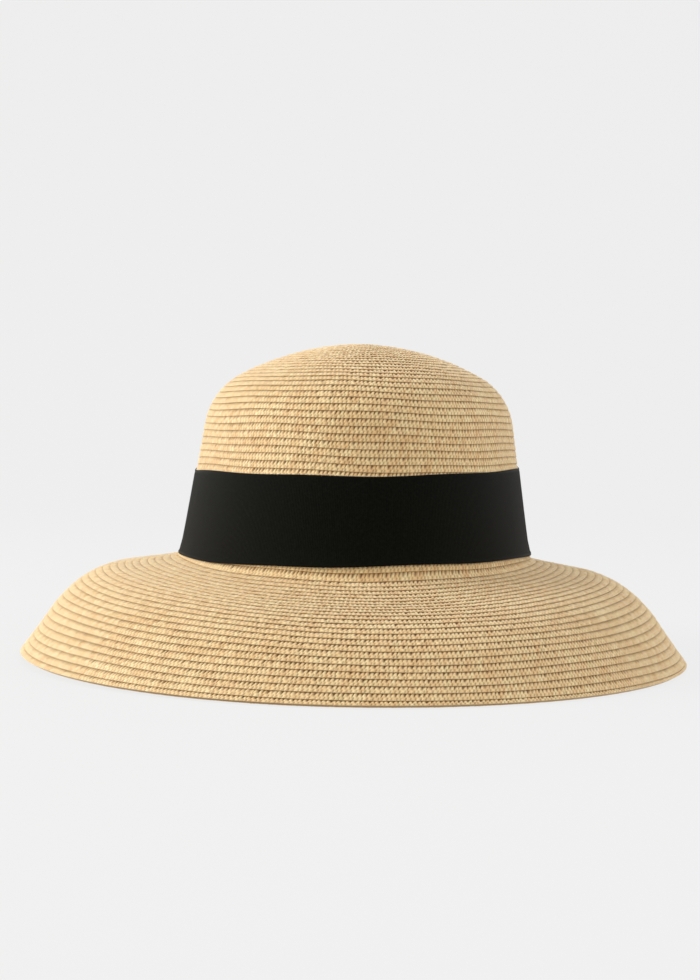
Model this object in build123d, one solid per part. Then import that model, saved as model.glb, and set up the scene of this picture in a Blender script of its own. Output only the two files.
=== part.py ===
from build123d import *
import os
from math import cos, pi, radians, sin, tan

# Straw sun hat of sewn braid. Millimetres, +Z up, +Y towards the back of the hat.
# The origin is the middle of the oval on which the brim's edge rests.
# Every ring round the hat is a level oval: half-width r, half-length r + OVAL.

# ---- the hat block: one profile from the tip of the crown to the brim's edge ----
OVAL = 14.0                 # how much further each ring reaches front and back than to a side
BRAID_T = 2.4               # two overlapping layers of braid
ROW = 3.6                   # each row of braid shows this much beyond the next
TIP_RADIUS = 126.0          # the crown's flat top, an arc in section
TIP_ANGLE = 28.7            # slope where the top turns into the corner, degrees
CORNER_RADIUS = 33.0        # the crown's round corner
WALL_ANGLE = 81.6           # slope of the crown's side
WALL_LENGTH = 68.6
TURN_RADIUS = 5.0           # the turn from crown to brim at the headline
BRIM_TOP_ANGLE = 10.0       # the brim leaves the crown nearly flat ...
BRIM_TOP_LENGTH = 27.0
BRIM_BEND_RADIUS = 54.6     # ... bends down like a bell ...
BRIM_EDGE_ANGLE = 52.0
BRIM_EDGE_LENGTH = 24.0     # ... and ends in a steep skirt
START_R = 1.8               # the braid starts as a short doubled length, this wide each side

# ---- the pieces on the block ----
SWEATBAND_T = 0.8
SWEATBAND_H = 28.0
RIBBON_T = 0.5
RIBBON_W = 42.0
RIBBON_GAP = 3.0            # straw that shows between the headline and the ribbon
KEEPER_W = 18.0             # the loop that covers the ribbon's joined ends, at the back
KEEPER_T = 1.1
KEEPER_LIP = 0.8            # how far the loop reaches past each edge of the ribbon
THREAD_R = 0.22
WIRE_R = 0.5                # spring wire in the brim's last row
WIRE_UP = 4.5               # its distance up the slope from the edge
SLEEVE_R = 0.75
SLEEVE_L = 16.0
PLAY = 0.05                 # room round the wire in its channel
LABEL_W = 24.0              # care label, sewn to the sweatband by its top margin
LABEL_H = 21.0
LABEL_T = 0.4
LABEL_CORNER = 1.5
LABEL_STAND = 1.3           # its flat stands this far in from the middle of the curved band
MARGIN_H = 3.0
MARGIN_DROP = 1.0           # from the sweatband's top edge down to the margin
HINGE_GAP = 0.4             # from the margin to the line about which the label swings
SIZE_W = 15.0               # size label, sewn flat to the sweatband beside it
SIZE_H = 13.0
SIZE_T = 0.35
SIZE_X = 34.0
SIZE_UP = 8.0               # its lower edge above the headline
TACK_REACH = 1.3            # how far a tack reaches each side of the ribbon's edge
TACK_ANGLES = (0, 65, 115, 180)     # at each side, and either side of the keeper
BAND_STITCHES = 72          # round the sweatband's lower edge
STITCH_L = 3.0
STITCH_UP = 2.0             # this round of stitches above the headline
LABEL_STITCH_L = 2.8


def downhill(angle):
    """Direction along the profile, outward and down at this slope."""
    return (cos(radians(angle)), -sin(radians(angle)))


def make_profile():
    """The outer profile in section, x outward and y up, from the tip to the edge at y = 0."""
    tip = JernArc((0, 0), (1, 0), TIP_RADIUS, -TIP_ANGLE)
    corner = JernArc(tip @ 1, tip % 1, CORNER_RADIUS, TIP_ANGLE - WALL_ANGLE)
    wall = Line(corner @ 1, (corner @ 1) + WALL_LENGTH * Vector(*downhill(WALL_ANGLE)))
    turn = JernArc(wall @ 1, wall % 1, TURN_RADIUS, WALL_ANGLE - BRIM_TOP_ANGLE)
    flat = Line(turn @ 1, (turn @ 1) + BRIM_TOP_LENGTH * Vector(*downhill(BRIM_TOP_ANGLE)))
    bend = JernArc(flat @ 1, flat % 1, BRIM_BEND_RADIUS, BRIM_TOP_ANGLE - BRIM_EDGE_ANGLE)
    skirt = Line(bend @ 1, (bend @ 1) + BRIM_EDGE_LENGTH * Vector(*downhill(BRIM_EDGE_ANGLE)))
    lift = Pos(0, -(skirt @ 1).Y)
    return [lift * piece for piece in (tip, corner, wall, turn, flat, bend, skirt)]


TIP, CORNER, WALL, TURN, FLAT, BEND, SKIRT = make_profile()
SHOULDER_Z = (WALL @ 0).Y       # top of the crown's straight side
HEADLINE_Z = (WALL @ 1).Y       # bottom of it, where the head goes in
CROWN_TOP = (TIP @ 0).Y
TUBE_SIDES = 12
HUGE = 500.0                    # wider than the hat, for cutting blocks


def offset_point(piece, u, depth):
    """The point at u along a piece of the profile, sunk by depth square to it."""
    along = piece % u
    point = piece @ u
    return (point.X + depth * along.Y, point.Y - depth * along.X)


def braid_rows(depth):
    """Points down the profile, about one for each row of braid, sunk by depth."""
    start_u = START_R / TIP.length
    points = [offset_point(TIP, start_u, depth)]
    for piece in (TIP, CORNER, WALL, TURN, FLAT, BEND, SKIRT):
        rows = max(1, round(piece.length / ROW))
        points += [offset_point(piece, (row + 1) / rows, depth) for row in range(rows)]
    return points


def ring(r, z):
    return Pos(0, 0, z) * Ellipse(r, r + OVAL)


def solid_of_rings(points):
    return loft([ring(r, z) for r, z in points], ruled=True)


def wall_r(z):
    """Half-width of the outside of the crown's straight side at height z."""
    return (WALL @ 1).X - (z - HEADLINE_Z) / tan(radians(WALL_ANGLE))


def wall_band(z_low, z_high, inside, outside):
    """A tapered oval band; inside and outside are thicknesses out from the crown's outside."""
    across = sin(radians(WALL_ANGLE))

    def cone(skin):
        return solid_of_rings([(wall_r(z) + skin / across, z) for z in (z_high, z_low)])

    return cone(outside) - cone(inside)


def slab(z_low, z_high):
    return Pos(0, 0, (z_low + z_high) / 2) * Box(HUGE, HUGE, z_high - z_low)


def back_block(width, z_low, z_high, x=0.0):
    """A block over the back half of the hat, for cutting a stretch out of a ring."""
    return Pos(x, HUGE / 4, (z_low + z_high) / 2) * Box(width, HUGE / 2, z_high - z_low)


def oval_tube(r, z, radius):
    """A many-sided rod along the ring of half-width r at height z."""
    turn = pi / TUBE_SIDES
    angles = [turn * (2 * n + 1) for n in range(TUBE_SIDES // 2)]
    outside = [(r + radius * sin(angle), z + radius * cos(angle)) for angle in angles]
    inside = [(r - radius * sin(angle), z + radius * cos(angle)) for angle in angles]
    return solid_of_rings(outside) - solid_of_rings(inside)


def oval_point(r, angle):
    """Point and outward direction on the oval of half-width r, at an angle from +X."""
    a, b = r, r + OVAL
    c, s = cos(radians(angle)), sin(radians(angle))
    return Vector(a * c, b * s, 0), Vector(b * c, a * s, 0).normalized()


def bar(start, end, radius=THREAD_R):
    """A straight length of thread."""
    along = end - start
    place = Plane(origin=(start + end) / 2, z_dir=along)
    return place * Cylinder(radius, along.length)


# ---- straw braid ----
def make_braid():
    """The whole sewn shell, then the three parts that a hatter sews it in."""
    inner = braid_rows(BRAID_T)
    past_edge = SKIRT % 1 * BRAID_T * 2     # so that the inner solid cuts right through
    inner.append((inner[-1][0] + past_edge.X, inner[-1][1] + past_edge.Y))
    shell = solid_of_rings(braid_rows(0)) - solid_of_rings(inner)
    tip = shell & slab(SHOULDER_Z, CROWN_TOP + 1)
    side = shell & slab(HEADLINE_Z, SHOULDER_Z)
    brim = shell & slab(-1, HEADLINE_Z)
    return tip, side, brim


# ---- wire in the brim's edge ----
WIRE_AT = offset_point(SKIRT, 1 - WIRE_UP / SKIRT.length, BRAID_T / 2)


def wire_block(width):
    return back_block(width, 0, 2 * WIRE_UP)


def make_wire():
    """A full ring: the wire's ends meet inside the sleeve."""
    return oval_tube(*WIRE_AT, WIRE_R)


def make_sleeve():
    """The crimped tube round the wire where its ends meet, at the back."""
    tube = oval_tube(*WIRE_AT, SLEEVE_R) - oval_tube(*WIRE_AT, WIRE_R)
    return tube & wire_block(SLEEVE_L)


def cut_channel(brim):
    pocket = oval_tube(*WIRE_AT, SLEEVE_R + PLAY) & wire_block(SLEEVE_L + 1)
    return brim - oval_tube(*WIRE_AT, WIRE_R + PLAY) - pocket


# ---- ribbon round the crown ----
RIBBON_Z = HEADLINE_Z + RIBBON_GAP
RIBBON_TOP = RIBBON_Z + RIBBON_W * sin(radians(WALL_ANGLE))


def make_ribbon():
    return wall_band(RIBBON_Z, RIBBON_TOP, 0, RIBBON_T)


def make_keeper(ribbon):
    low, high = RIBBON_Z - KEEPER_LIP, RIBBON_TOP + KEEPER_LIP
    loop = wall_band(low, high, 0, RIBBON_T + KEEPER_T) & back_block(KEEPER_W, low, high)
    return loop - ribbon


def make_ribbon_tacks():
    """Tacks over both edges of the ribbon."""
    tacks = []
    for angle in TACK_ANGLES:
        for edge, reach in ((RIBBON_Z, -TACK_REACH), (RIBBON_TOP, TACK_REACH)):
            on_ribbon, _ = oval_point(wall_r(edge - reach) + RIBBON_T, angle)
            on_straw, _ = oval_point(wall_r(edge + reach), angle)
            start = on_ribbon + Vector(0, 0, edge - reach)
            tacks.append(bar(start, on_straw + Vector(0, 0, edge + reach)))
    return Compound(tacks)


# ---- sweatband and labels inside the crown ----
BAND_TOP = HEADLINE_Z + SWEATBAND_H
BAND_IN = -(BRAID_T + SWEATBAND_T)      # the sweatband's inner face, out from the crown's outside


def stitch_along(z, skin, angle, length):
    """A level stitch on a face inside the crown; skin is that face, out from the outside."""
    point, out = oval_point(wall_r(z) + skin / sin(radians(WALL_ANGLE)), angle)
    middle = point + Vector(0, 0, z)
    along = Vector(-out.Y, out.X, 0) * (length / 2)
    return bar(middle - along, middle + along)


def make_sweatband():
    return wall_band(HEADLINE_Z, BAND_TOP, BAND_IN, -BRAID_T)


def make_sweatband_stitches():
    """A round of straight stitches close to the sweatband's lower edge."""
    z = HEADLINE_Z + STITCH_UP
    turn = 360 / BAND_STITCHES
    return Compound([stitch_along(z, BAND_IN, n * turn, STITCH_L) for n in range(BAND_STITCHES)])


BAND_FACE_Y = wall_r(BAND_TOP) + OVAL + BAND_IN / sin(radians(WALL_ANGLE))
LABEL_Y = BAND_FACE_Y - LABEL_STAND     # the label's outer face, a flat across the curved band
HINGE_Y = LABEL_Y - LABEL_T / 2
HINGE_Z = BAND_TOP - MARGIN_DROP - MARGIN_H - HINGE_GAP


def make_label_margin():
    """The label's sewn margin: flat on its inner side, shaped to the sweatband behind."""
    low = HINGE_Z + HINGE_GAP
    block = Box(LABEL_W, OVAL, MARGIN_H, align=(Align.CENTER, Align.MIN, Align.MIN))
    inside = wall_band(low - 1, low + MARGIN_H + 1, BAND_IN - OVAL, BAND_IN)
    return Pos(0, LABEL_Y - LABEL_T, low) * block & inside


def make_care_label():
    """The label's free part, hanging straight down from its swing line."""
    flap = Pos(0, HINGE_Y, HINGE_Z - LABEL_H / 2) * Box(LABEL_W, LABEL_T, LABEL_H)
    return fillet(flap.edges().filter_by(Axis.Y).group_by(Axis.Z)[0], LABEL_CORNER)


def make_size_label():
    low = HEADLINE_Z + SIZE_UP
    band = wall_band(low, low + SIZE_H, BAND_IN - SIZE_T, BAND_IN)
    return band & back_block(SIZE_W, low, low + SIZE_H, SIZE_X)


def make_label_stitches():
    """Stitches through the care label's margin, and along the size label's top."""
    z = HINGE_Z + HINGE_GAP + MARGIN_H / 2
    y = LABEL_Y - LABEL_T
    half = Vector(LABEL_STITCH_L / 2, 0, 0)
    middles = [Vector(n * LABEL_W / 5, y, z) for n in range(-2, 3)]
    stitches = [bar(middle - half, middle + half) for middle in middles]
    z = HEADLINE_Z + SIZE_UP + SIZE_H - 1
    for angle in (64, 67, 70):
        stitches.append(stitch_along(z, BAND_IN - SIZE_T, angle, LABEL_STITCH_L))
    return Compound(stitches)


def main():
    crown_tip, crown_side, brim = make_braid()
    ribbon = make_ribbon()
    nodes = {
        "crown_tip": crown_tip,
        "crown_side": crown_side,
        "brim": cut_channel(brim),
        "brim_wire": make_wire(),
        "wire_sleeve": make_sleeve(),
        "hat_ribbon": ribbon,
        "ribbon_keeper": make_keeper(ribbon),
        "ribbon_tacks": make_ribbon_tacks(),
        "sweatband": make_sweatband(),
        "sweatband_stitches": make_sweatband_stitches(),
        "label_margin": make_label_margin(),
        "care_label": make_care_label(),
        "size_label": make_size_label(),
        "label_stitches": make_label_stitches(),
    }
    os.makedirs("parts", exist_ok=True)
    for name, solid in nodes.items():
        export_step(solid, f"parts/{name}.step")
    print("brim edge half-width", round((SKIRT @ 1).X, 2), "crown top", round(CROWN_TOP, 2))
    print("headline z", round(HEADLINE_Z, 2), "outer half-width", round((WALL @ 1).X, 2))
    print("shoulder z", round(SHOULDER_Z, 2), "half-width", round((WALL @ 0).X, 2))
    print("ribbon z", round(RIBBON_Z, 2), round(RIBBON_TOP, 2), "band top", round(BAND_TOP, 2))
    print("hinge y, z", round(HINGE_Y, 3), round(HINGE_Z, 3), "wire at", WIRE_AT)


main()
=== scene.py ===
import math

import bmesh
import bpy
import numpy as np
from mathutils import Matrix, Vector


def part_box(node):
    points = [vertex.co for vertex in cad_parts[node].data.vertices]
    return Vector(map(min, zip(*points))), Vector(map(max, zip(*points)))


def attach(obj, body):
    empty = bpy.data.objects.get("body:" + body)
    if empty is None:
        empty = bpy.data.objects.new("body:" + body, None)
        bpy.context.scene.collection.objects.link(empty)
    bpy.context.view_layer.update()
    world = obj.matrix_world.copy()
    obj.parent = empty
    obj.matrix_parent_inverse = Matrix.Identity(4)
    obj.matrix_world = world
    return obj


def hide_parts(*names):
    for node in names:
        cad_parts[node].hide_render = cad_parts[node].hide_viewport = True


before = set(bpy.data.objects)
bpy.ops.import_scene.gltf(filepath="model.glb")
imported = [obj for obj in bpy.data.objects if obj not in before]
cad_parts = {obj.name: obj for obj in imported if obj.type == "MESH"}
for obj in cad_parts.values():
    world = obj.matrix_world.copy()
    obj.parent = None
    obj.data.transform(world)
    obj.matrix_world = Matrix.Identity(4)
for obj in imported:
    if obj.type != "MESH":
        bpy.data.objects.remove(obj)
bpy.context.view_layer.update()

# Straw sun hat, where the frame has it. Lengths on the hat are in millimetres until a mesh is
# made, and the stage, the lights and the camera are placed in metres. Left is -X, the back is +Y.
MM = 0.001
SEED = 20
HAT = "hat"
LABEL = "label"
BACK = math.pi / 2      # the angle of the back, round the hat from +X


# ---------------------------------------------------------------- the hat block
# The stretches are those of the CAD hat, so that both have one outside.
OVAL = 14.0             # each ring reaches this much further front and back than to a side
WALL_SLOPE = 81.6       # the crown's side, and
BRIM_SLOPE = 10.0       # the brim by the crown
SKIRT_SLOPE = 52.0      # and by its edge, in degrees below level
BLOCK = [               # (slope where the stretch ends, length of the stretch), from the tip down
    (28.7, 63.11),              # flat top
    (WALL_SLOPE, 30.47),        # round corner
    (WALL_SLOPE, 68.6),         # straight side
    (BRIM_SLOPE, 6.25),         # turn at the headline
    (BRIM_SLOPE, 27.0),         # brim, nearly flat
    (SKIRT_SLOPE, 40.02),       # bends down
    (SKIRT_SLOPE, 24.0),        # skirt
]
STEP = 0.25             # of the tables below
PAST_EDGE = 12.0        # they run on this far
ENDS = np.cumsum([0.0] + [length for _, length in BLOCK])
SLOPES = np.radians([0.0] + [slope for slope, _ in BLOCK])
EDGE_S = ENDS[-1]           # way down from the tip to the brim's edge
SHOULDER_S = ENDS[2]
HEADLINE_S = ENDS[3]
BRIM_S = ENDS[4]
S_TABLE = np.arange(0.0, EDGE_S + PAST_EDGE, STEP)
SLOPE_TABLE = np.interp(S_TABLE, ENDS, SLOPES)
MID_SLOPES = SLOPE_TABLE[1:] / 2 + SLOPE_TABLE[:-1] / 2
R_TABLE = np.concatenate([[0.0], np.cumsum(np.cos(MID_SLOPES))]) * STEP
FALL = np.concatenate([[0.0], np.cumsum(np.sin(MID_SLOPES))]) * STEP
Z_TABLE = np.interp(EDGE_S, S_TABLE, FALL) - FALL
HEADLINE_Z = np.interp(HEADLINE_S, S_TABLE, Z_TABLE)

# How this hat, shaped by hand, differs from the even block
CROWN_LEAN = 0.017          # sideways for each millimetre up, from SIDE_LIFT above the headline
END_LIFT = 2.0              # the headline stands this much above its level front and back ...
SIDE_LIFT = 5.0             # ... and this much at the sides, behind the ribbon's lower edge
LIFT_UP = 30.0              # the lift fades out over this much of the crown's side
SIDE_RISE = 3.2             # how far the middle of the brim stands up at both sides ...
LEFT_RISE = 0.8             # ... with this much more on the left and this much less on the right
LEFT_EDGE = 2.0             # the edge stands up this much at the far left
END_DIP = 31.0              # front and back it falls off sooner, by at most 0.15 of this
ROW_WAVE = 0.42             # how far hand-guided rows wander ...
STRAIGHT_END = 12.0         # ... but not the last ones, this near to the edge
SQUARE_TIP = 2.4            # how straight-sided the rings are at the tip ...
SQUARE_LOSS = 2.2           # ... and how much of that is gone further down


def smooth(x, low, high):
    """0 below low and 1 above high, with an even change between."""
    t = np.clip((x - low) / (high - low), 0.0, 1.0)
    return t * t * (3 - 2 * t)


def ring_radius(s):
    """Half the hat's width, this way down from the tip."""
    return np.interp(s, S_TABLE, R_TABLE)


def on_hat(s, phi, h, lifted=1.0):
    """Points on the hat: s down from the tip, phi round it from +X, h out from the block."""
    s, phi, h = np.broadcast_arrays(s, phi, h)
    wander = np.sin(3 * phi + 0.05 * s) + 0.6 * np.sin(8 * phi - 0.11 * s + 1.0)
    s = s + ROW_WAVE * wander * smooth(s, 20, 60) * smooth(-s, -EDGE_S, -EDGE_S + STRAIGHT_END)
    r = ring_radius(s)
    z = np.interp(s, S_TABLE, Z_TABLE)
    slope = np.interp(s, S_TABLE, SLOPE_TABLE)
    c, n = np.cos(phi), np.sin(phi)
    square = SQUARE_TIP - SQUARE_LOSS * smooth(s, 5, 60)
    reach = OVAL * np.minimum(1, s / 2.0)
    y_more = reach * np.tanh(square * n) / np.tanh(square)
    tx = -r * n
    ty = r * c + reach * square * c / np.cosh(square * n) ** 2 / np.tanh(square)
    size = np.maximum(np.hypot(tx, ty), 1e-6)
    nx, ny = ty / size, -tx / size
    on_brim = np.clip((s - HEADLINE_S) / (EDGE_S - HEADLINE_S), 0, 1)
    swell = np.sin(math.pi * on_brim) ** 1.5
    dip = on_brim * (1 - on_brim) ** 2
    lift = lifted * smooth(s, HEADLINE_S - LIFT_UP, HEADLINE_S) * (1 - on_brim) ** 2
    z = z + lift * (END_LIFT + (SIDE_LIFT - END_LIFT) * c ** 2)
    lean = CROWN_LEAN * np.maximum(z - HEADLINE_Z - SIDE_LIFT, 0)
    z = z + swell * (SIDE_RISE * c ** 2 - LEFT_RISE * c) - dip * END_DIP * n ** 2
    z = z + LEFT_EDGE * on_brim ** 3 * np.maximum(-c, 0) ** 2
    out = h * np.sin(slope)
    return np.stack([r * c + out * nx + lean, r * n + y_more + out * ny, z + h * np.cos(slope)], -1)


# ---------------------------------------------------------------- meshes
def mesh_object(name, points, faces):
    """Smooth mesh from points in millimetres and an array of faces with equally many corners."""
    mesh = bpy.data.meshes.new(name)
    mesh.vertices.add(len(points))
    mesh.vertices.foreach_set("co", (points * MM).astype(np.float32).ravel())
    mesh.loops.add(faces.size)
    mesh.loops.foreach_set("vertex_index", faces.astype(np.int32).ravel())
    mesh.polygons.add(len(faces))
    mesh.polygons.foreach_set("loop_start", np.arange(0, faces.size, faces.shape[1], dtype=np.int32))
    mesh.polygons.foreach_set("use_smooth", np.ones(len(faces), dtype=bool))
    mesh.update(calc_edges=True)
    obj = bpy.data.objects.new(name, mesh)
    bpy.context.collection.objects.link(obj)
    return obj


def skin_faces(count, across, closed):
    """Faces over rings of points, the last ring joined to the first if closed."""
    along = np.arange(count if closed else count - 1)
    here = along[:, None] * across
    there = ((along + 1) % count)[:, None] * across
    a = np.arange(across)[None]
    b = (a + 1) % across
    return np.stack([here + a, here + b, there + b, there + a], -1).reshape(-1, 4)


def inside_out(points, faces):
    """Whether the faces of a closed skin, all with four corners, look inwards."""
    corners = points[faces]
    a, b, c, d = (corners[:, k] for k in range(4))
    volume = (np.cross(b - a, c - a) * a + np.cross(c - a, d - a) * a).sum()
    return volume < 0


LAYOUT_GAP = 0.04       # left free above and below each band of the layout


def flat_layout(points, closed):
    """Places of the skin's faces on a square for baking: equal lengths, one above another."""
    count, across = points.shape[:2]
    steps = np.linalg.norm(np.roll(points, -1, axis=1) - points, axis=2).mean(axis=0)
    v = np.concatenate([[0.0], np.cumsum(steps)]) / steps.sum()
    runs = np.linalg.norm(np.diff(points.mean(axis=1), axis=0), axis=1)
    columns = count if closed else count - 1
    bands = max(1, round(math.sqrt(runs.sum() / steps.sum())))
    per = math.ceil(columns / bands)
    along = np.repeat(np.arange(columns), across)
    a = np.tile(np.arange(across), columns)
    u0 = (along % per) / per
    u1 = u0 + 1 / per
    band = along // per + LAYOUT_GAP
    low = (band + (1 - 2 * LAYOUT_GAP) * v[a]) / bands
    high = (band + (1 - 2 * LAYOUT_GAP) * v[a + 1]) / bands
    return np.stack([u0, low, u0, high, u1, high, u1, low], -1).reshape(-1, 4, 2)


def set_layout(obj, places):
    """Stores where each face lies on the square for baking."""
    layer = obj.data.uv_layers.new(name="OFBake")
    layer.data.foreach_set("uv", places.astype(np.float32).ravel())


def cap_ends(obj, count, across):
    """Closes both open ends of a skin with one face each."""
    rings = [range(across), range((count - 1) * across, count * across)]
    skin = bmesh.new()
    skin.from_mesh(obj.data)
    skin.verts.ensure_lookup_table()
    places = skin.loops.layers.uv["OFBake"]
    for ring in rings:
        face = skin.faces.new([skin.verts[k] for k in ring])
        for loop in face.loops:
            loop[places].uv = loop.link_loop_radial_next[places].uv
    bmesh.ops.recalc_face_normals(skin, faces=skin.faces)
    skin.to_mesh(obj.data)
    skin.free()


def make_skin(name, points, closed=False):
    """A closed skin over points[ring, place in the ring]; it ends in caps unless closed."""
    count, across = points.shape[:2]
    faces = skin_faces(count, across, closed)
    places = flat_layout(points, closed)
    flat = points.reshape(-1, 3)
    if inside_out(flat - flat.mean(axis=0), faces):
        faces, places = faces[:, ::-1], places[:, ::-1]
    obj = mesh_object(name, flat, faces)
    set_layout(obj, places)
    if not closed:
        cap_ends(obj, count, across)
    return obj


def set_attribute(obj, name, values):
    """Stores one number for each point of the mesh, for its material to read."""
    layer = obj.data.attributes.new(name, "FLOAT", "POINT")
    layer.data.foreach_set("value", values.astype(np.float32).ravel())


def finish_piece(obj, node_name, material, body=HAT):
    """Gives a piece its material and its body, and hides the CAD node it stands for."""
    obj.data.materials.append(material)
    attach(obj, body)
    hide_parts(node_name)
    return obj


# ---------------------------------------------------------------- the braid
BRAID_ROWS = [          # (way down from the tip, pitch of the rows there)
    (0.0, 3.45), (HEADLINE_S, 3.45), (BRIM_S, 3.8), (EDGE_S, 3.7),
]
LUMP = 2.0              # length of one crossing of the plait
COLUMNS = 4             # mesh columns to a crossing
LEAN = 0.42             # crossings lean this much sideways for each step up the row
CREST_POWER = 0.9       # below 1, crossings are fuller than a sine
LATE_BELOW = 0.45       # the lower part of the plait, below this share, crosses half a step late
WOBBLE = 0.08           # crossings differ in height by about this
UNEVEN = 0.15           # and in length by about this share of a crossing
GAP_SHADE = 1.7          # how much painted shade a gap gets for its depth
NARROW_ROW = 1.5        # rows narrower than this lie flatter ...
NARROW_FLAT = 0.6       # ... down to this share of their height
TIP_R = 4.0             # the lean takes smaller rings as being this big
# The strip's section, as (share of the row up from its lower edge, height, depth of the gaps
# between crossings, painted shade whatever the gap, darkest where one row tucks under the next). The
# row above hides what lies past 1.
SECTION = [
    (1.42, -0.62, 0.00, 0.9),
    (1.06, -0.32, 0.10, 0.8),
    (0.96, -0.10, 0.60, 0.4),
    (0.84, 0.14, 0.90, 0.2),
    (0.68, 0.26, 0.72, 0.0),
    (0.50, 0.30, 0.34, 0.0),
    (0.32, 0.34, 0.42, 0.0),
    (0.13, 0.36, 0.42, 0.0),
    (0.015, 0.29, 0.15, 0.1),
    (0.00, 0.08, 0.05, 0.5),
    (0.05, -0.42, 0.00, 0.8),
    (0.50, -0.60, 0.08, 0.3),
    (0.95, -0.90, 0.14, 0.1),
    (1.36, -1.12, 0.08, 0.2),
]
FIRST_EDGE = 3.0        # the braid starts with its lower edge this far from the tip
CREST_POINT = 7         # the point of the section that stands out most

FACING_ROW = 6.8        # the row under the brim's edge is wider
FACING_GAP = 0.3        # its crossings are pressed flatter, over the wire
FACING_H = -2.05        # its section is turned over, this far in
FACING_INSET = 0.35     # its lower edge is this much short of the brim's


def braid_path():
    """Turns of the braid, and the way down from the tip of its lower edge at each."""
    s, turn, path = FIRST_EDGE, 0.0, []
    step = 1 / 64
    while s < EDGE_S:
        path.append((turn, s))
        s += step * np.interp(s, *zip(*BRAID_ROWS))
        turn += step
    end = turn + 1.0 - step     # a last turn along the edge, narrowing to nothing
    path.append((end, EDGE_S))
    return np.array(path)


PATH = braid_path()
LAST_TURN = PATH[-1, 0]


def braid_length():
    """Closely spaced turns, counted from the back, and the length along the braid at each."""
    turns = np.arange(0, LAST_TURN, 1 / 256)
    s = np.interp(turns, *PATH.T)
    at = on_hat(s, BACK + 2 * math.pi * turns, 0)
    steps = np.linalg.norm(np.diff(at, axis=0), axis=1)
    return turns, np.concatenate([[0.0], np.cumsum(steps)])


TURNS, LENGTHS = braid_length()
SPARE_LUMPS = 8         # more than the braid's length takes, so that none runs out
LUMP_COUNT = int(LENGTHS[-1] / LUMP) + SPARE_LUMPS
DRIFT_STEP = 9          # the colour drifts from one value to the next over this many crossings


def lump_noise():
    """Random height, gap and colour for each crossing of the plait, and slow drifts of colour."""
    rng = np.random.default_rng(SEED)
    n = LUMP_COUNT
    knots = np.arange(0, n + 2 * SPARE_LUMPS, DRIFT_STEP)
    drift = np.interp(np.arange(n), knots, rng.normal(0, 1, len(knots)))
    return {
        "height": np.clip(rng.normal(0, 1, n), -2, 2),
        "gap": np.clip(rng.normal(0.85, 0.3, n), 0.2, 1.25),
        "shift": np.clip(rng.normal(0, 1, n), -1.2, 1.2),
        "tint": 0.35 * drift + 0.95 * rng.normal(0, 1, n),
        "fleck": rng.random(n),
    }


NOISE = lump_noise()


def plait(name, column, phi, edge, row, section, closed=False):
    """A strip of braid along the hat: one mesh column at each phi, and its lower edge there."""
    lump = column // COLUMNS
    share, height, gap, painted_shade = np.array(section).T
    late = 0.5 * (share < LATE_BELOW)
    step = ((column % COLUMNS) / COLUMNS)[:, None]
    crest = np.sin(math.pi * (step + late) % math.pi) ** CREST_POWER
    s = edge[:, None] - share * row[:, None]
    radius = np.maximum(ring_radius(edge), TIP_R) + OVAL / 2
    lean_phi = LEAN * share * (row / radius)[:, None]
    narrow = np.minimum(row / NARROW_ROW, 1.0)[:, None]
    side = np.sign(height[CREST_POINT])     # the side that shows: out, or in for the facing
    bump = gap * NOISE["gap"][lump][:, None] * (1 - crest)
    wobble = WOBBLE * NOISE["height"][lump][:, None] * crest * (gap > 0)
    h = height * (NARROW_FLAT + (1 - NARROW_FLAT) * narrow) - side * (bump - wobble)
    points = on_hat(np.maximum(s, 0.02), phi[:, None] + lean_phi, h)
    obj = make_skin(name, points, closed)
    # painted shade: darker in the gaps between crossings and where the rows meet, from the section's
    # own shade
    dark = np.clip(painted_shade + (1 - crest) * np.clip(gap * GAP_SHADE, 0, 1), 0, 1)
    set_attribute(obj, "painted_shade", dark)
    set_attribute(obj, "tint", np.repeat(NOISE["tint"][lump], len(section)))
    set_attribute(obj, "fleck", np.repeat(NOISE["fleck"][lump], len(section)))
    return obj


def make_braid(name, first_turn, last_turn):
    """The stretch of the spiral of braid between two turns."""
    start, stop = np.interp([first_turn, last_turn], TURNS, LENGTHS)
    column = np.arange(int(start / LUMP * COLUMNS), int(stop / LUMP * COLUMNS) + 1)
    lump = column // COLUMNS
    uneven = UNEVEN * NOISE["shift"][lump] * (column % COLUMNS > 0)
    turn = np.interp((column / COLUMNS + uneven) * LUMP, LENGTHS, TURNS)
    edge = np.interp(turn, *PATH.T)
    row = np.where(turn < 1, edge, edge - np.interp(turn - 1, *PATH.T))
    return plait(name, column, BACK + 2 * math.pi * turn, edge, row, SECTION)


def around(s):
    """Closely spaced angles round the ring at s, and the length round it up to each."""
    angles = np.linspace(0, 2 * math.pi, 2000)
    steps = np.linalg.norm(np.diff(on_hat(s, angles, 0), axis=0), axis=1)
    return angles, np.concatenate([[0.0], np.cumsum(steps)])


def ring_length(s):
    return around(s)[1][-1]


def even_angles(s, count):
    """Angles that divide the ring at s into equal lengths."""
    angles, so_far = around(s)
    return np.interp(np.arange(count) / count * so_far[-1], so_far, angles)


def make_facing():
    """The row of braid under the brim's edge that holds the wire in."""
    edge = EDGE_S - FACING_INSET
    column = np.arange(int(ring_length(edge) / LUMP) * COLUMNS)
    phi = even_angles(edge, len(column))
    inward = [(share, FACING_H - height, FACING_GAP * gap, painted_shade)
              for share, height, gap, painted_shade in SECTION]
    full = np.ones(len(column))
    return plait("brim_facing", column, phi, edge * full, FACING_ROW * full, inward, closed=True)


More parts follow.
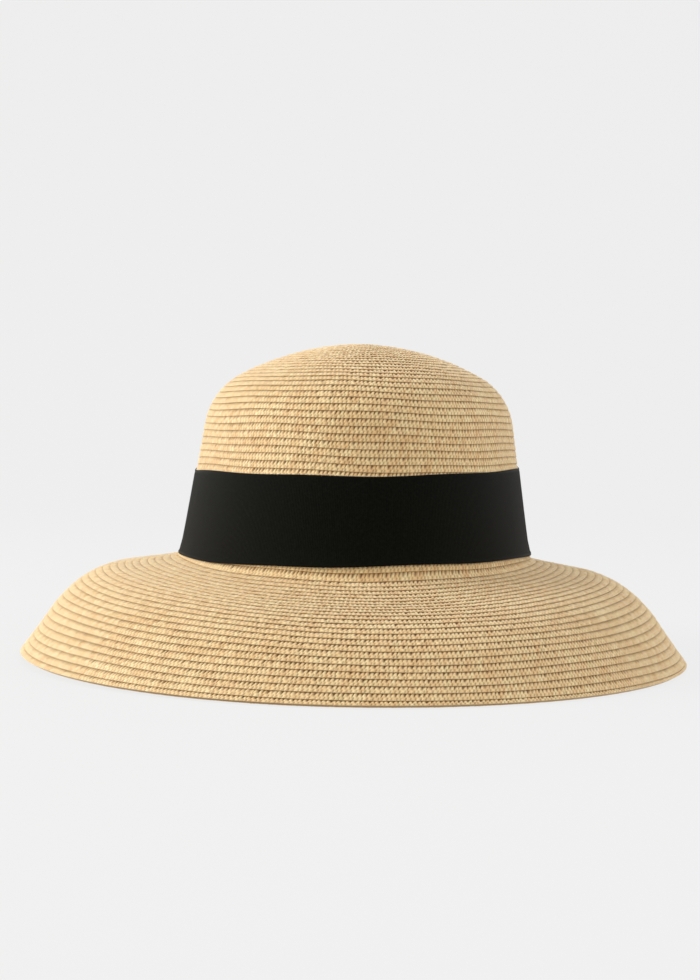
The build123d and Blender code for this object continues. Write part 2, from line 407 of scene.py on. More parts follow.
# ---------------------------------------------------------------- wire in the brim's edge
WIRE_R = 0.5
WIRE_S = EDGE_S - 4.5   # its way down from the tip ...
WIRE_H = -1.2           # ... and how far in it lies, between the brim and the facing
WIRE_RINGS = 900
SLEEVE_R = 0.75
SLEEVE_L = 16.0
SLEEVE_PLAY = 0.02      # its surface is never nearer to the wire's than this
SLEEVE_ROUND = 0.4      # the length over which its ends are rounded
CRIMPS = (-4.5, 4.5)    # where the sleeve is pinched, along it from its middle,
CRIMP_W = 0.9           # over about this length each way,
CRIMP_DEEP = 0.7        # and by this share of its wall
ROD_SIDES = 12


def rod_points(phi, radius):
    """Rings of a rod that follows the brim, above the facing."""
    turn = 2 * math.pi * np.arange(ROD_SIDES) / ROD_SIDES
    return on_hat(WIRE_S + radius * np.cos(turn), phi[:, None], WIRE_H + radius * np.sin(turn))


def make_wire():
    """The spring wire, a closed ring."""
    phi = even_angles(WIRE_S, WIRE_RINGS)
    return make_skin("brim_wire_rod", rod_points(phi, WIRE_R), closed=True)


def make_sleeve():
    """The tube over the wire's ends, pinched flat at two places."""
    x = np.linspace(-SLEEVE_L / 2, SLEEVE_L / 2, 65)
    pinch = sum(np.exp(-((x - at) / CRIMP_W) ** 2) for at in CRIMPS)
    ends = np.clip((SLEEVE_L / 2 - np.abs(x)) / SLEEVE_ROUND, 0, 1)
    wall = (SLEEVE_R - WIRE_R - SLEEVE_PLAY) * ends * (1 - CRIMP_DEEP * pinch)
    radius = WIRE_R + SLEEVE_PLAY + wall
    phi = BACK - x / ring_radius(WIRE_S)
    return make_skin("wire_sleeve_tube", rod_points(phi, radius[:, None]))


# ---------------------------------------------------------------- ribbon
RIBBON_W = 42.0
RIBBON_LOW = HEADLINE_S - 3.03      # its lower edge
RIBBON_TOP = RIBBON_LOW - RIBBON_W
RIBBON_IN = 0.42                    # its inner face rests on the crests of the straw
RIBBON_T = 0.5
RIBBON_TILT = -1.4                  # it sits a little higher on the right
RIBBON_EASE = 0.02                  # and eases upwards by this share at the sides
RIBBON_FLARE = 1.1                  # its lower edge follows the turn to the brim,
FLARE_UP = 2.6                      # fading upwards over about this
RIBBON_LOOSE = 0.14                 # its upper edge stands off unevenly by this
RIBBON_PUSH = 0.35                  # the lifted straw pushes its lower part out at the sides
RIB = 0.8                           # from one rib to the next
RIB_H = 0.10
RIB_COLUMNS = 4                     # mesh columns to a rib
RIBS_END = 1.5                      # the ribs stop this far from both edges
SELVEDGE = 0.9                      # the flat woven edge
EDGE_THIN = 0.28                    # the edge itself is this much thinner
SCALLOP = 0.10                      # and each rib draws it in and out by this
KEEPER_W = 18.0
KEEPER_LIP = 0.8                    # the keeper reaches this far past each edge of the ribbon
KEEPER_T = 0.45
KEEPER_OFF = 0.12                   # and it stands this far off the ribbon's face


def ribbon_point(phi, up, h):
    """A point on the ribbon, up from its lower edge."""
    s = RIBBON_LOW - up * (1 + RIBBON_EASE * np.cos(phi) ** 2) + RIBBON_TILT * np.cos(phi)
    flare = RIBBON_FLARE * np.exp(-np.maximum(up, 0) / FLARE_UP)
    loose = RIBBON_LOOSE * np.sin(2 * phi + 1) * np.clip(up / RIBBON_W, 0, 1) ** 3
    push = RIBBON_PUSH * np.cos(phi) ** 2 * np.clip(1 - up / RIBBON_W, 0, 1)
    return on_hat(s, phi, h + flare + loose + push, lifted=0.0)


def make_ribbon():
    """One band of grosgrain with real ribs and flat woven edges."""
    middle = (RIBBON_LOW + RIBBON_TOP) / 2
    ribs = round(ring_length(middle) / RIB)
    column = np.arange(ribs * RIB_COLUMNS)
    phi = even_angles(middle, len(column))
    crest = np.sin(math.pi * (column % RIB_COLUMNS) / RIB_COLUMNS)
    inner_up = [0.08, 10, 21, 32, RIBBON_W - 0.08]
    outer_up = [RIBBON_W, RIBBON_W - 0.25, RIBBON_W - SELVEDGE, RIBBON_W - 1.6, 35, 28, 21, 14, 7,
                1.6, SELVEDGE, 0.25, 0.0]
    face = RIBBON_IN + RIBBON_T
    inner = [(up, RIBBON_IN, 0.0) for up in inner_up]
    outer = [(up, face, float(RIBS_END < up < RIBBON_W - RIBS_END)) for up in outer_up]
    outer[0] = (RIBBON_W, face - EDGE_THIN, 0.25)
    outer[-1] = (0.0, face - EDGE_THIN, 0.25)
    up, h, ribbed = np.array(inner + outer).T
    scallop = SCALLOP * (crest[:, None] - 0.5) * ((up < 0.5) * -1.0 + (up > RIBBON_W - 0.5))
    points = ribbon_point(phi[:, None], up + scallop, h + RIB_H * ribbed * crest[:, None])
    obj = make_skin("ribbon_band", points, closed=True)
    set_attribute(obj, "run", np.repeat(column * RIB / RIB_COLUMNS, len(up)))
    set_attribute(obj, "rise", np.tile(up, len(column)))
    set_attribute(obj, "crest", (ribbed * crest[:, None] + 0.5 * (1 - ribbed)))
    return obj


def make_keeper():
    """A folded length of the same ribbon round the joined ends, its ribs lying level."""
    low, high = -KEEPER_LIP, RIBBON_W + KEEPER_LIP
    face = RIBBON_IN + RIBBON_T + KEEPER_OFF + KEEPER_T / 2
    ribs = round((high - low) / RIB)
    front = np.linspace(low, high, ribs * RIB_COLUMNS + 1)
    behind = np.linspace(high, low, 24)
    fold = np.radians([40, 90, 140])
    bend_r = (face - RIBBON_IN) / 2 - 0.05
    up = np.concatenate([front, high + bend_r * np.sin(fold), behind, low - bend_r * np.sin(fold)])
    mid = face - bend_r
    h = np.concatenate([np.full(len(front), face), mid + bend_r * np.cos(fold),
                        np.full(len(behind), face - 2 * bend_r), mid - bend_r * np.cos(fold)])
    crest = np.zeros(len(up))
    crest[:len(front)] = np.sin(math.pi * (np.arange(len(front)) % RIB_COLUMNS) / RIB_COLUMNS)
    d_up = np.roll(up, -1) - np.roll(up, 1)
    d_h = np.roll(h, -1) - np.roll(h, 1)
    size = np.hypot(d_up, d_h)
    across = np.array([-1, -0.97, -0.9, -0.45, 0, 0.45, 0.9, 0.97, 1]) * KEEPER_W / 2
    x = np.concatenate([across, across[::-1]])
    side = np.repeat([1.0, -1.0], len(across)) * KEEPER_T / 2
    side[np.abs(x) == KEEPER_W / 2] *= 0.3          # its long edges are thinner
    ribbed = (side > KEEPER_T / 3) * RIB_H
    thick = side + ribbed * crest[:, None]
    points = ribbon_point(BACK - x / ring_radius(RIBBON_LOW),
                          up[:, None] - thick * (d_h / size)[:, None],
                          h[:, None] + thick * (d_up / size)[:, None])
    obj = make_skin("ribbon_keeper_loop", points, closed=True)
    set_attribute(obj, "run", np.repeat(up, len(x)))
    set_attribute(obj, "rise", np.tile(x, len(up)))
    set_attribute(obj, "crest", np.broadcast_to(crest[:, None], (len(up), len(x))))
    return obj


# ---------------------------------------------------------------- sweatband and labels
BAND_H = 28.3           # up the wall from the headline
BAND_T = 0.8
BAND_COLUMNS = 420
BAND_WAVE = 0.12        # its free edge waves in and out by this
BAND_SEWN = -1.15       # its outer face where it is sewn to the straw ...
BAND_FREE = -2.4        # ... and at its free top edge
HEM = 3.2               # depth of the turned hem at its top
SEAM_UP = 0.8           # the hem is stitched this far above its lower edge
LABEL_W = 24.0
LABEL_CORNER = 1.5
LABEL_T = 0.4
LABEL_CURL = 0.9        # the free end stands out from the sweatband by this, and
LABEL_CUP = 0.5         # this much less at its corners
LABEL_LOW, LABEL_HIGH = (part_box("care_label")[k][2] / MM for k in (0, 1))
HINGE_Y = (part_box("care_label")[0][1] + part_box("care_label")[1][1]) / 2 / MM
MARGIN_LOW, MARGIN_HIGH = (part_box("label_margin")[k][2] / MM for k in (0, 1))
MARGIN_S = HEADLINE_S - 26      # the margin is about this far down from the tip
MARGIN_OFF = 0.45       # the middle of the margin's cloth, off the sweatband's inner face
SIZE_LEFT, SIZE_RIGHT = (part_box("size_label")[k][0] / MM for k in (0, 1))
SIZE_LOW, SIZE_HIGH = (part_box("size_label")[k][2] / MM for k in (0, 1))
SIZE_S = HEADLINE_S - 15        # and the size label about this far
SIZE_OFF = 0.15         # the size label's cloth stands off the sweatband by this
SIZE_T = 0.35


def band_height(up):
    """Height of the sweatband's outer face off the block, up from the headline."""
    return BAND_SEWN + (BAND_FREE - BAND_SEWN) * smooth(up, 1, BAND_H)


def band_point(phi, up, h):
    """A point on the sweatband, up from the headline."""
    wave = BAND_WAVE * np.sin(7 * phi + 0.5) * np.clip(up / BAND_H, 0, 1)
    return on_hat(HEADLINE_S - up, phi, band_height(up) + h + wave)


def make_sweatband():
    """A cloth band with a turned and stitched top hem, standing up inside the crown."""
    phi = even_angles(HEADLINE_S, BAND_COLUMNS)
    run = np.arange(BAND_COLUMNS) * ring_length(HEADLINE_S) / BAND_COLUMNS
    outer = [(0.0, -0.25), (3, 0.0), (9, 0.0), (16, 0.0), (22, 0.0), (BAND_H - HEM, 0.02),
             (BAND_H - 0.6, 0.1)]
    inner = [(BAND_H, -0.35), (BAND_H - 0.5, -BAND_T - 0.12), (BAND_H - 1.6, -BAND_T - 0.17),
             (BAND_H - HEM + 0.5, -BAND_T - 0.14), (BAND_H - HEM, -BAND_T), (22, -BAND_T),
             (16, -BAND_T), (9, -BAND_T), (3, -BAND_T), (2, -BAND_T + 0.08), (1, -BAND_T),
             (0.15, -BAND_T + 0.12)]
    up, h = np.array(outer + inner).T
    points = band_point(phi[:, None], up, h)
    obj = make_skin("sweatband_cloth_band", points, closed=True)
    set_attribute(obj, "run", np.repeat(run, len(up)))
    set_attribute(obj, "rise", np.tile(up, BAND_COLUMNS))
    return obj


def cloth_patch(name, middle, x, up_at, thickness):
    """A small piece of cloth: columns at each x, rows from up_at(x), its faces either side."""
    edge = np.array([0, 0.012, 0.05, 0.15, 0.3, 0.45, 0.6, 0.75, 0.9, 0.98, 1.0])
    half = np.array([0.3, 0.8, 1, 1, 1, 1, 1, 1, 1, 0.8, 0.3]) * thickness / 2
    t = np.concatenate([edge, edge[::-1]])
    side = np.concatenate([half, -half[::-1]])
    low, high = up_at(x)
    up = low[:, None] + (high - low)[:, None] * t
    # thinner at its first and last columns
    taper = np.clip((1 - np.abs(np.linspace(-1, 1, len(x)))) * len(x) / 4 + 0.35, 0, 1)
    points = middle(x[:, None], up, side * taper[:, None])
    obj = make_skin(name, points)
    set_attribute(obj, "run", np.repeat(x, len(t)))
    set_attribute(obj, "rise", up)
    return obj


def make_care_label():
    """The label's free part, curling a little away from the sweatband towards its end."""
    def middle(x, z, side):
        down = (LABEL_HIGH - z) / (LABEL_HIGH - LABEL_LOW)
        curl = -LABEL_CURL * down ** 2 + LABEL_CUP * down * (x / LABEL_W * 2) ** 2
        return np.stack(np.broadcast_arrays(x, HINGE_Y + curl - side, z), -1)

    def up_at(x):
        past = np.maximum(np.abs(x) - (LABEL_W / 2 - LABEL_CORNER), 0)
        drop = LABEL_CORNER - np.sqrt(np.maximum(LABEL_CORNER ** 2 - past ** 2, 0))
        return LABEL_LOW + 0.1 + drop, np.full(len(x), LABEL_HIGH)

    ends = LABEL_W / 2 - LABEL_CORNER * (1 - np.cos(np.linspace(0, math.pi / 2, 7)))
    x = np.concatenate([-ends, np.linspace(-10, 10, 33), ends[::-1]])
    return cloth_patch("care_label_flap", middle, x, up_at, LABEL_T)


def margin_y(x, z):
    """How far back the margin's middle is: straight at the fold, curved with the band above."""
    phi = BACK - x / ring_radius(MARGIN_S)
    on_band = band_point(phi, z - HEADLINE_Z, -BAND_T - MARGIN_OFF)[..., 1]
    return HINGE_Y + (on_band - HINGE_Y) * smooth(z, MARGIN_LOW, MARGIN_HIGH - 0.8)


def make_label_margin():
    """The label's sewn margin, from the fold up."""
    def middle(x, z, side):
        return np.stack(np.broadcast_arrays(x, margin_y(x, z) - side, z), -1)

    def up_at(x):
        return np.full(len(x), MARGIN_LOW), np.full(len(x), MARGIN_HIGH)

    x = np.linspace(-LABEL_W / 2, LABEL_W / 2, 41)
    return cloth_patch("care_label_margin", middle, x, up_at, LABEL_T)


def make_size_label():
    """A small blank tape lying on the band."""
    def middle(x, z, side):
        phi = np.arccos(np.clip(x / ring_radius(SIZE_S), -1, 1))
        return band_point(phi, z - HEADLINE_Z, -BAND_T - SIZE_OFF - SIZE_T / 2 - side)

    def up_at(x):
        return np.full(len(x), SIZE_LOW), np.full(len(x), SIZE_HIGH)

    x = np.linspace(SIZE_LEFT, SIZE_RIGHT, 25)
    return cloth_patch("size_label_tape", middle, x, up_at, SIZE_T)


# ---------------------------------------------------------------- sewing thread
THREAD_R = 0.22
THREAD_SIDES = 6
THREAD_TWIST = 9        # radians of twist over half a stitch
STITCH_RINGS = np.array([-1, -0.96, -0.85, -0.6, -0.3, 0, 0.3, 0.6, 0.85, 0.96, 1])
SINK = 0.34             # about how far the ends of a stitch go into the cloth
CELL_GAP = 0.1          # left free round each stitch on the square for baking
BAND_STITCHES = 72
BAND_STITCH_HALF = 1.5  # half the length of a stitch
BAND_STITCH_UP = 2.0
TACK_ANGLES = (0, 65, 115, 180)     # degrees round from +X: the sides, and by the keeper
TACK_HALF = 1.3
TACK_EDGES = [          # (up the ribbon, which way is off it, drop of the tack's end to the straw)
    (0.0, -1, 1.5),
    (RIBBON_W, 1, 0.8),
]
LABEL_STITCH_HALF = 1.4
MARGIN_STITCHES = (-9.6, -4.8, 0.0, 4.8, 9.6)       # sideways from the middle of the label
SIZE_STITCHES = (-4.5, 0.0, 4.5)
SIZE_STITCH_DOWN = 1                                # from the size label's top


def make_threads(name, stitches):
    """Short bent lengths of twisted thread; each stitch is its line of points."""
    lines = np.array(stitches)
    count, rings = lines.shape[:2]
    along = np.gradient(lines, axis=1)
    along /= np.linalg.norm(along, axis=2, keepdims=True)
    up = np.where(np.abs(along[..., 2:]) > 0.7, [0.0, 1.0, 0.0], [0.0, 0.0, 1.0])
    side = np.cross(along, up)
    side /= np.linalg.norm(side, axis=2, keepdims=True)
    up = np.cross(side, along)
    angle = 2 * math.pi * np.arange(THREAD_SIDES) / THREAD_SIDES
    radius = THREAD_R * np.sqrt(np.clip(1.02 - STITCH_RINGS ** 10, 0.15, 1))[None, :, None, None]
    points = lines[:, :, None] + radius * (side[:, :, None] * np.cos(angle)[:, None]
                                           + up[:, :, None] * np.sin(angle)[:, None])
    skin = skin_faces(rings, THREAD_SIDES, False)
    ends = np.array([[3, 2, 1, 0], [5, 4, 3, 0]])
    one = np.concatenate([skin, ends, (rings - 1) * THREAD_SIDES + ends[:, ::-1]])
    if inside_out((points[0] - lines[0].mean(axis=0)).reshape(-1, 3), one):
        one = one[:, ::-1]
    per = rings * THREAD_SIDES
    faces = (one[None] + per * np.arange(count)[:, None, None]).reshape(-1, 4)
    obj = mesh_object(name, points.reshape(-1, 3), faces)
    cells = math.ceil(math.sqrt(count))
    ring, corner = np.divmod(one, THREAD_SIDES)
    cell = np.arange(count)[:, None, None]
    inside = 1 - 2 * CELL_GAP
    u = (cell % cells + CELL_GAP + inside * ring / (rings - 1)) / cells
    v = (cell // cells + CELL_GAP + inside * corner / THREAD_SIDES) / cells
    set_layout(obj, np.stack([u, v], -1))
    twist = STITCH_RINGS[:, None] * THREAD_TWIST + angle
    set_attribute(obj, "twist", np.broadcast_to(twist, (count, rings, THREAD_SIDES)))
    return obj


def arch():
    """How far each point of a stitch stands off the cloth: its ends sink in."""
    return THREAD_R * 0.7 - (THREAD_R + SINK) * np.abs(STITCH_RINGS) ** 8


def make_band_stitches():
    """The round of stitches that sews the sweatband in."""
    step = BAND_STITCH_HALF / ring_radius(HEADLINE_S)
    return make_threads("sweatband_thread", [
        band_point(phi + step * STITCH_RINGS, BAND_STITCH_UP, -BAND_T - arch())
        for phi in even_angles(HEADLINE_S, BAND_STITCHES)])


def make_ribbon_tacks():
    """Tacks over both edges of the ribbon, at the sides and by the keeper."""
    tacks = []
    on_cloth = RIBBON_IN + RIBBON_T + RIB_H
    for degrees in TACK_ANGLES:
        for edge, way, drop in TACK_EDGES:
            up = edge + way * TACK_HALF * STITCH_RINGS
            fall = drop * np.maximum(STITCH_RINGS, 0)
            tacks.append(ribbon_point(math.radians(degrees), up, on_cloth + arch() - fall))
    return make_threads("ribbon_thread", tacks)


def make_label_stitches():
    """Stitches through the care label's margin, and along the size label's top."""
    lines = []
    z = (MARGIN_LOW + MARGIN_HIGH) / 2
    for middle in MARGIN_STITCHES:
        x = middle + LABEL_STITCH_HALF * STITCH_RINGS
        y = margin_y(x, z) - LABEL_T / 2 - arch()
        lines.append(np.stack([x, y, np.full(len(x), z)], -1))
    up = SIZE_HIGH - SIZE_STITCH_DOWN - HEADLINE_Z
    for middle in SIZE_STITCHES:
        x = (SIZE_LEFT + SIZE_RIGHT) / 2 + middle + LABEL_STITCH_HALF * STITCH_RINGS
        phi = np.arccos(x / ring_radius(SIZE_S))
        lines.append(band_point(phi, up, -BAND_T - SIZE_OFF - SIZE_T - arch()))
    return make_threads("label_thread", lines)


# ---------------------------------------------------------------- materials
def new_material(name):
    material = bpy.data.materials.new(name)
    material.use_nodes = True
    tree = material.node_tree
    shader = tree.nodes["Principled BSDF"]
    return material, tree, shader


def feed(tree, socket, value):
    """Links the socket to another one, or sets it to a plain value."""
    if isinstance(value, bpy.types.NodeSocket):
        tree.links.new(value, socket)
    else:
        socket.default_value = value


def node(tree, kind, inputs=None, **settings):
    made = tree.nodes.new(kind)
    for key, value in settings.items():
        setattr(made, key, value)
    for key, value in (inputs or {}).items():
        feed(tree, made.inputs[key], value)
    return made


def mix(tree, factor, a, b, blend="MIX"):
    made = tree.nodes.new("ShaderNodeMix")
    made.data_type = "RGBA"
    made.blend_type = blend
    for place, value in ((0, factor), (6, a), (7, b)):      # the sockets that colours use
        feed(tree, made.inputs[place], value)
    return made.outputs[2]


def math_node(tree, operation, *values, clamp=False):
    made = tree.nodes.new("ShaderNodeMath")
    made.operation = operation
    made.use_clamp = clamp
    for socket, value in zip(made.inputs, values):
        feed(tree, socket, value)
    return made.outputs[0]


def tinted(tree, colour, mask, share, other):
    """The colour, with up to this share of another mixed in where the mask says."""
    return mix(tree, math_node(tree, "MULTIPLY", mask, share), colour, other)


def attribute(tree, name):
    return node(tree, "ShaderNodeAttribute", attribute_name=name).outputs["Fac"]


def rgb(r, g, b):
    """A colour written as 0 to 255 on screen, as the linear value that a shader takes."""
    parts = [x / 255 for x in (r, g, b)]
    return (*[x / 12.92 if x < 0.04045 else ((x + 0.055) / 1.055) ** 2.4 for x in parts], 1.0)


def wave(tree, source, per_mm, phase=0.0):
    """A smooth 0 to 1 wave along an attribute that counts millimetres."""
    angle = math_node(tree, "MULTIPLY_ADD", source, 2 * math.pi * per_mm, phase)
    return math_node(tree, "MULTIPLY_ADD", math_node(tree, "SINE", angle), 0.5, 0.5)


def noise(tree, scale, detail=2.0, roughness=0.5):
    place = node(tree, "ShaderNodeTexCoord").outputs["Object"]
    settings = {"Vector": place, "Scale": scale, "Detail": detail, "Roughness": roughness}
    return node(tree, "ShaderNodeTexNoise", settings).outputs["Fac"]


def finish_shader(tree, shader, colour, roughness, height, bump, distance, **others):
    """Wires up the shader; others are its remaining inputs, with _ for each space."""
    tree.links.new(colour, shader.inputs["Base Color"])
    tree.links.new(roughness, shader.inputs["Roughness"])
    made = node(tree, "ShaderNodeBump", {"Height": height, "Strength": bump, "Distance": distance})
    tree.links.new(made.outputs["Normal"], shader.inputs["Normal"])
    for name, value in others.items():
        shader.inputs[name.replace("_", " ")].default_value = value


def straw_material():
    """Paper straw: each crossing a little different, fibres along it, painted shade in the gaps and
    between the rows.
    """
    material, tree, shader = new_material("straw_braid")
    fibre = noise(tree, 1500.0, 3.0, 0.65)
    mottle = noise(tree, 620.0, 2.0, 0.6)
    fleck = attribute(tree, "fleck")
    warm = math_node(tree, "MULTIPLY_ADD", attribute(tree, "tint"), 0.28, 0.5, clamp=True)
    colour = mix(tree, warm, rgb(234, 195, 137), rgb(252, 231, 176))
    colour = tinted(tree, colour, noise(tree, 28.0), 0.35, rgb(222, 184, 126))
    pink = math_node(tree, "GREATER_THAN", fleck, 0.94)
    colour = tinted(tree, colour, pink, 0.2, rgb(222, 164, 120))
    green = math_node(tree, "LESS_THAN", fleck, 0.05)
    colour = tinted(tree, colour, green, 0.3, rgb(206, 190, 132))
    shade = math_node(tree, "MULTIPLY_ADD", fibre, 1.1, 0.42, clamp=True)
    colour = mix(tree, 0.7, colour, shade, "MULTIPLY")
    blotch = math_node(tree, "MULTIPLY_ADD", mottle, 1.6, -0.45, clamp=True)
    colour = tinted(tree, colour, blotch, 0.55, rgb(206, 162, 100))
    # painted shade: dark brown where the straw lies in shadow, in the gaps and under the row above
    colour = tinted(tree, colour, attribute(tree, "painted_shade"), 0.85, rgb(108, 66, 16))
    rough = math_node(tree, "MULTIPLY_ADD", fibre, 0.3, 0.42)
    height = math_node(tree, "ADD", fibre, mottle)
    finish_shader(tree, shader, colour, rough, height, 0.5, 0.0004, Specular_IOR_Level=0.4,
                  Sheen_Weight=0.5, Sheen_Tint=(1.0, 0.93, 0.80, 1.0), Sheen_Roughness=0.5)
    return material


def grosgrain_material():
    """Black ribbed ribbon: fine warp threads cross the ribs, lint lightens it a little, and painted
    shade darkens the grooves between the ribs.
    """
    material, tree, shader = new_material("grosgrain")
    crest = attribute(tree, "crest")
    warp = wave(tree, attribute(tree, "rise"), 2.9)
    lint = noise(tree, 900.0, 4.0, 0.7)
    # painted shade: the grooves between the ribs are darker than their crests
    colour = mix(tree, crest, rgb(1, 1, 0), rgb(7, 9, 3))
    colour = tinted(tree, colour, warp, 0.35, rgb(6, 6, 4))
    speckle = math_node(tree, "MULTIPLY_ADD", lint, 2.4, -1.0, clamp=True)
    colour = tinted(tree, colour, speckle, 0.5, rgb(28, 29, 21))
    colour = tinted(tree, colour, noise(tree, 60.0), 0.3, rgb(10, 10, 8))
    rough = math_node(tree, "MULTIPLY_ADD", lint, 0.25, 0.62)
    height = math_node(tree, "ADD", math_node(tree, "MULTIPLY", warp, 0.6), lint)
    finish_shader(tree, shader, colour, rough, height, 0.5, 0.00015,
                  Specular_IOR_Level=0.02, Sheen_Weight=0.14, Sheen_Roughness=0.45)
    return material


def twill_material():
    """Tan cotton twill: fine diagonal lines, and a row of machine stitching on the hem."""
    material, tree, shader = new_material("sweatband_cloth")
    run, rise = attribute(tree, "run"), attribute(tree, "rise")
    diagonal = math_node(tree, "MULTIPLY_ADD", rise, 1.4, run)
    twill = wave(tree, diagonal, 1.05)
    yarn = wave(tree, rise, 2.4)
    fuzz = noise(tree, 1100.0, 3.0, 0.6)
    colour = mix(tree, twill, rgb(176, 150, 112), rgb(206, 182, 142))
    colour = tinted(tree, colour, fuzz, 0.4, rgb(188, 166, 130))
    colour = tinted(tree, colour, noise(tree, 40.0), 0.3, rgb(182, 156, 116))
    above = math_node(tree, "SUBTRACT", rise, BAND_H - HEM + SEAM_UP)
    from_seam = math_node(tree, "ABSOLUTE", above)
    on_seam = math_node(tree, "LESS_THAN", from_seam, 0.16)
    dash = math_node(tree, "GREATER_THAN", wave(tree, run, 0.38), 0.25)
    seam = math_node(tree, "MULTIPLY", on_seam, dash)
    colour = mix(tree, seam, colour, rgb(222, 200, 160))
    height = math_node(tree, "ADD", math_node(tree, "MULTIPLY_ADD", twill, 1.0, yarn), seam)
    rough = math_node(tree, "MULTIPLY_ADD", fuzz, 0.12, 0.8)
    finish_shader(tree, shader, colour, rough, height, 0.6, 0.00025,
                  Sheen_Weight=0.25, Sheen_Roughness=0.6)
    return material


def label_material():
    """Off-white woven tape: fine threads across it and along it."""
    material, tree, shader = new_material("label_cloth")
    run, rise = attribute(tree, "run"), attribute(tree, "rise")
    weft = wave(tree, rise, 2.6)
    warp = wave(tree, run, 3.3)
    colour = mix(tree, weft, rgb(214, 210, 200), rgb(238, 235, 227))
    fuzz = noise(tree, 1300.0, 3.0, 0.6)
    colour = tinted(tree, colour, fuzz, 0.35, rgb(222, 217, 204))
    height = math_node(tree, "MULTIPLY_ADD", warp, 0.5, weft)
    rough = math_node(tree, "MULTIPLY_ADD", weft, 0.15, 0.42)
    finish_shader(tree, shader, colour, rough, height, 0.45, 0.00012, Sheen_Weight=0.15)
    return material


def thread_material(name, dark, light):
    """Twisted sewing thread, with painted shade in the grooves between its plies."""
    material, tree, shader = new_material(name)
    ply = math_node(tree, "MULTIPLY_ADD", math_node(tree, "SINE", attribute(tree, "twist")), 0.5, 0.5)
    fuzz = noise(tree, 2400.0, 2.0)
    # painted shade: along the twist the thread runs from its dark colour in the grooves to its light
    # one on the plies
    colour = mix(tree, ply, dark, light)
    colour = tinted(tree, colour, fuzz, 0.3, light)
    rough = math_node(tree, "MULTIPLY_ADD", fuzz, 0.2, 0.55)
    height = math_node(tree, "MULTIPLY_ADD", fuzz, 0.3, ply)
    finish_shader(tree, shader, colour, rough, height, 0.5, 0.0001, Sheen_Weight=0.2)
    return material


def wire_material():
    """Drawn spring wire: fine scratches in a bright grey metal."""
    material, tree, shader = new_material("spring_wire")
    scratch = noise(tree, 700.0, 4.0, 0.7)
    colour = mix(tree, scratch, rgb(150, 150, 152), rgb(196, 196, 198))
    rough = math_node(tree, "MULTIPLY_ADD", scratch, 0.25, 0.22)
    finish_shader(tree, shader, colour, rough, scratch, 0.2, 0.00005, Metallic=1.0)
    return material


# ---------------------------------------------------------------- stage, lights and camera
STAGE_GLOW = 0.857      # the paper's evenly lit brightness
STAGE_EVEN = 0.92       # how much of it comes from the even light and not from the lamps
STAGE_HALF = 6.0        # how far the floor reaches to each side and to the front ...
STAGE_BACK = 2.6        # ... and back, to the upright part
STAGE_TOP = 4.0
STAGE_BEND = 1.2        # radius of the bend between them,
BEND_STEPS = 16         # in this many flats
FLOOR_DROP = -0.0013    # the floor is just below the hat's lowest straw
WORLD = 0.66            # strength of the light from all round
LIGHTS = [              # name, place, size, power in watts, colour
    ("key", (-1.7, -0.2, 0.85), 1.1, 34, (1.0, 0.99, 0.97)),
    ("fill", (1.6, -0.5, 0.8), 1.3, 8, (1, 1, 1)),
    ("top", (0.1, -0.2, 2.2), 1.5, 7, (1, 1, 1)),
]
HAT_MIDDLE = (0, 0, 0.08)       # the lights point here


def make_stage():
    """A floor that curves up into a backdrop, lit evenly so that it reads as pale paper."""
    material, tree, shader = new_material("stage")
    grain = noise(tree, 40.0)
    colour = mix(tree, grain, (0.84, 0.84, 0.84, 1), (0.86, 0.86, 0.86, 1))
    tree.links.new(colour, shader.inputs["Base Color"])
    shader.inputs["Roughness"].default_value = 0.9
    shader.inputs["Specular IOR Level"].default_value = 0.1
    glow = node(tree, "ShaderNodeEmission", {"Color": (1, 1, 1, 1), "Strength": STAGE_GLOW})
    both = node(tree, "ShaderNodeMixShader", {0: STAGE_EVEN, 1: shader.outputs["BSDF"],
                                              2: glow.outputs["Emission"]})
    tree.links.new(both.outputs[0], tree.nodes["Material Output"].inputs["Surface"])
    start = STAGE_BACK - STAGE_BEND
    section = [(-STAGE_HALF, 0.0), (start, 0.0)]
    for k in range(1, BEND_STEPS + 1):
        angle = math.pi / 2 * k / BEND_STEPS
        section.append((start + STAGE_BEND * math.sin(angle),
                        STAGE_BEND - STAGE_BEND * math.cos(angle)))
    section.append((STAGE_BACK, STAGE_TOP))
    sides = (-STAGE_HALF, STAGE_HALF)
    points = np.array([(x, y, z) for y, z in section for x in sides]) / MM
    faces = np.array([(2 * k, 2 * k + 1, 2 * k + 3, 2 * k + 2) for k in range(len(section) - 1)])
    stage = mesh_object("floor", points, faces)
    stage.location.z = FLOOR_DROP
    stage.data.materials.append(material)


def area_light(name, place, size, power, colour):
    data = bpy.data.lights.new(name, "AREA")
    data.size = size
    data.energy = power
    data.color = colour
    light = bpy.data.objects.new(name, data)
    light.location = place
    light.rotation_euler = (Vector(HAT_MIDDLE) - Vector(place)).to_track_quat("-Z", "Y").to_euler()
    bpy.context.collection.objects.link(light)


def make_lights():
    """Even light from all round, which the camera sees as the paper's own white, and lamps."""
    world = bpy.data.worlds.new("studio")
    bpy.context.scene.world = world
    world.use_nodes = True
    tree = world.node_tree
    sky = tree.nodes["Background"]
    sky.inputs["Color"].default_value = (1, 1, 1, 1)
    seen = node(tree, "ShaderNodeLightPath").outputs["Is Camera Ray"]
    strength = math_node(tree, "MULTIPLY_ADD", seen, STAGE_GLOW - WORLD, WORLD)
    tree.links.new(strength, sky.inputs["Strength"])
    for light in LIGHTS:
        area_light(*light)


EYE = Vector((-0.003, -0.932, 0.114))
PITCH, ROLL = 1.93, 0.9         # degrees down, and degrees round its own axis
LENS = 67.5


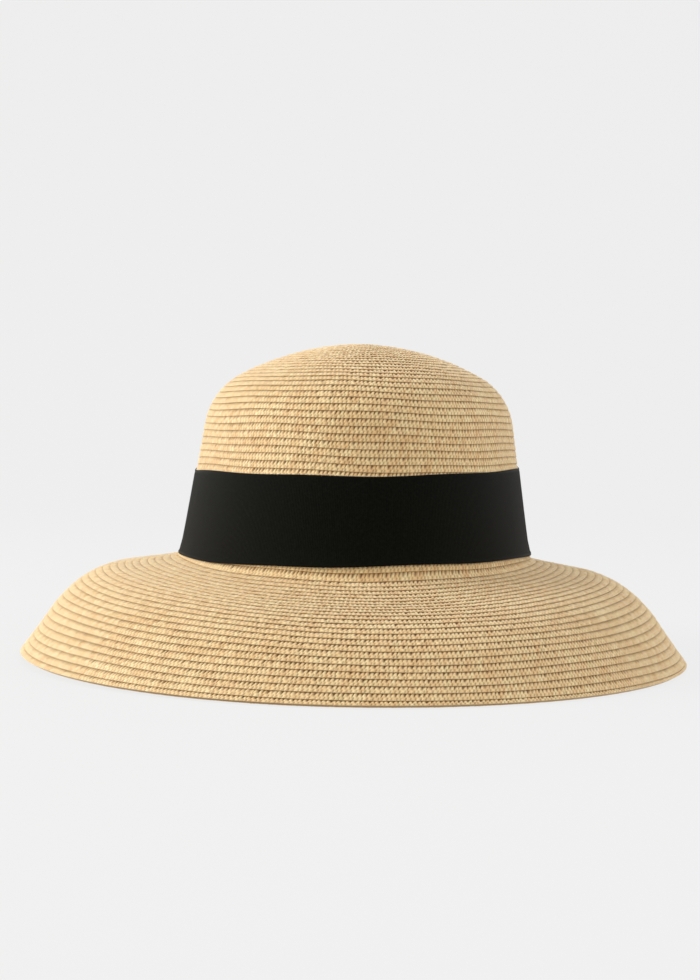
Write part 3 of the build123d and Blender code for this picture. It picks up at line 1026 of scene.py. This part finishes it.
def make_camera():
    data = bpy.data.cameras.new("camera")
    data.lens = LENS
    camera = bpy.data.objects.new("camera", data)
    aim = Matrix.Rotation(math.radians(90 - PITCH), 4, "X")
    roll = Matrix.Rotation(math.radians(ROLL), 4, "Z")
    camera.matrix_world = Matrix.Translation(EYE) @ aim @ roll
    bpy.context.collection.objects.link(camera)
    bpy.context.scene.camera = camera


# ---------------------------------------------------------------- put together
def build_straw(straw):
    """The braid, in the three stages in which a hatter sews it, and the facing."""
    shoulder, headline = np.interp([SHOULDER_S, HEADLINE_S], PATH[:, 1], PATH[:, 0]).round()
    stages = [("crown_tip", 0, shoulder, 4), ("crown_side", shoulder, headline, 4),
              ("brim", headline, LAST_TURN, 10)]
    for stage, low, high, count in stages:
        cuts = np.linspace(low, high, count + 1)
        cuts[1:-1] = cuts[1:-1].round()     # whole turns, so it is joined at the back
        for k in range(count):
            strip = make_braid(f"{stage}_braid_{k + 1}", cuts[k], cuts[k + 1])
            finish_piece(strip, stage, straw)
    finish_piece(make_facing(), "brim", straw)


def build_soft(grosgrain, twill, tape):
    """The ribbon, its keeper, the sweatband and the labels.
    """
    ribbon = finish_piece(make_ribbon(), "hat_ribbon", grosgrain)
    keeper = finish_piece(make_keeper(), "ribbon_keeper", grosgrain)
    band = finish_piece(make_sweatband(), "sweatband", twill)
    flap = finish_piece(make_care_label(), "care_label", tape, LABEL)
    margin = finish_piece(make_label_margin(), "label_margin", tape)
    size = finish_piece(make_size_label(), "size_label", tape)


def main():
    tape = label_material()
    build_straw(straw_material())
    build_soft(grosgrain_material(), twill_material(), tape)
    # each thread has a shaded and a lit copy of its colour, painted along the twist
    pale = thread_material("straw_thread", rgb(172, 142, 96), rgb(214, 186, 140))
    black = thread_material("black_thread", rgb(10, 10, 9), rgb(34, 33, 31))
    finish_piece(make_band_stitches(), "sweatband_stitches", pale)
    finish_piece(make_label_stitches(), "label_stitches", pale)
    finish_piece(make_ribbon_tacks(), "ribbon_tacks", black)
    metal = wire_material()
    finish_piece(make_wire(), "brim_wire", metal)
    finish_piece(make_sleeve(), "wire_sleeve", metal)
    make_stage()
    make_lights()
    make_camera()
    bpy.context.scene.view_settings.view_transform = "Standard"


main()
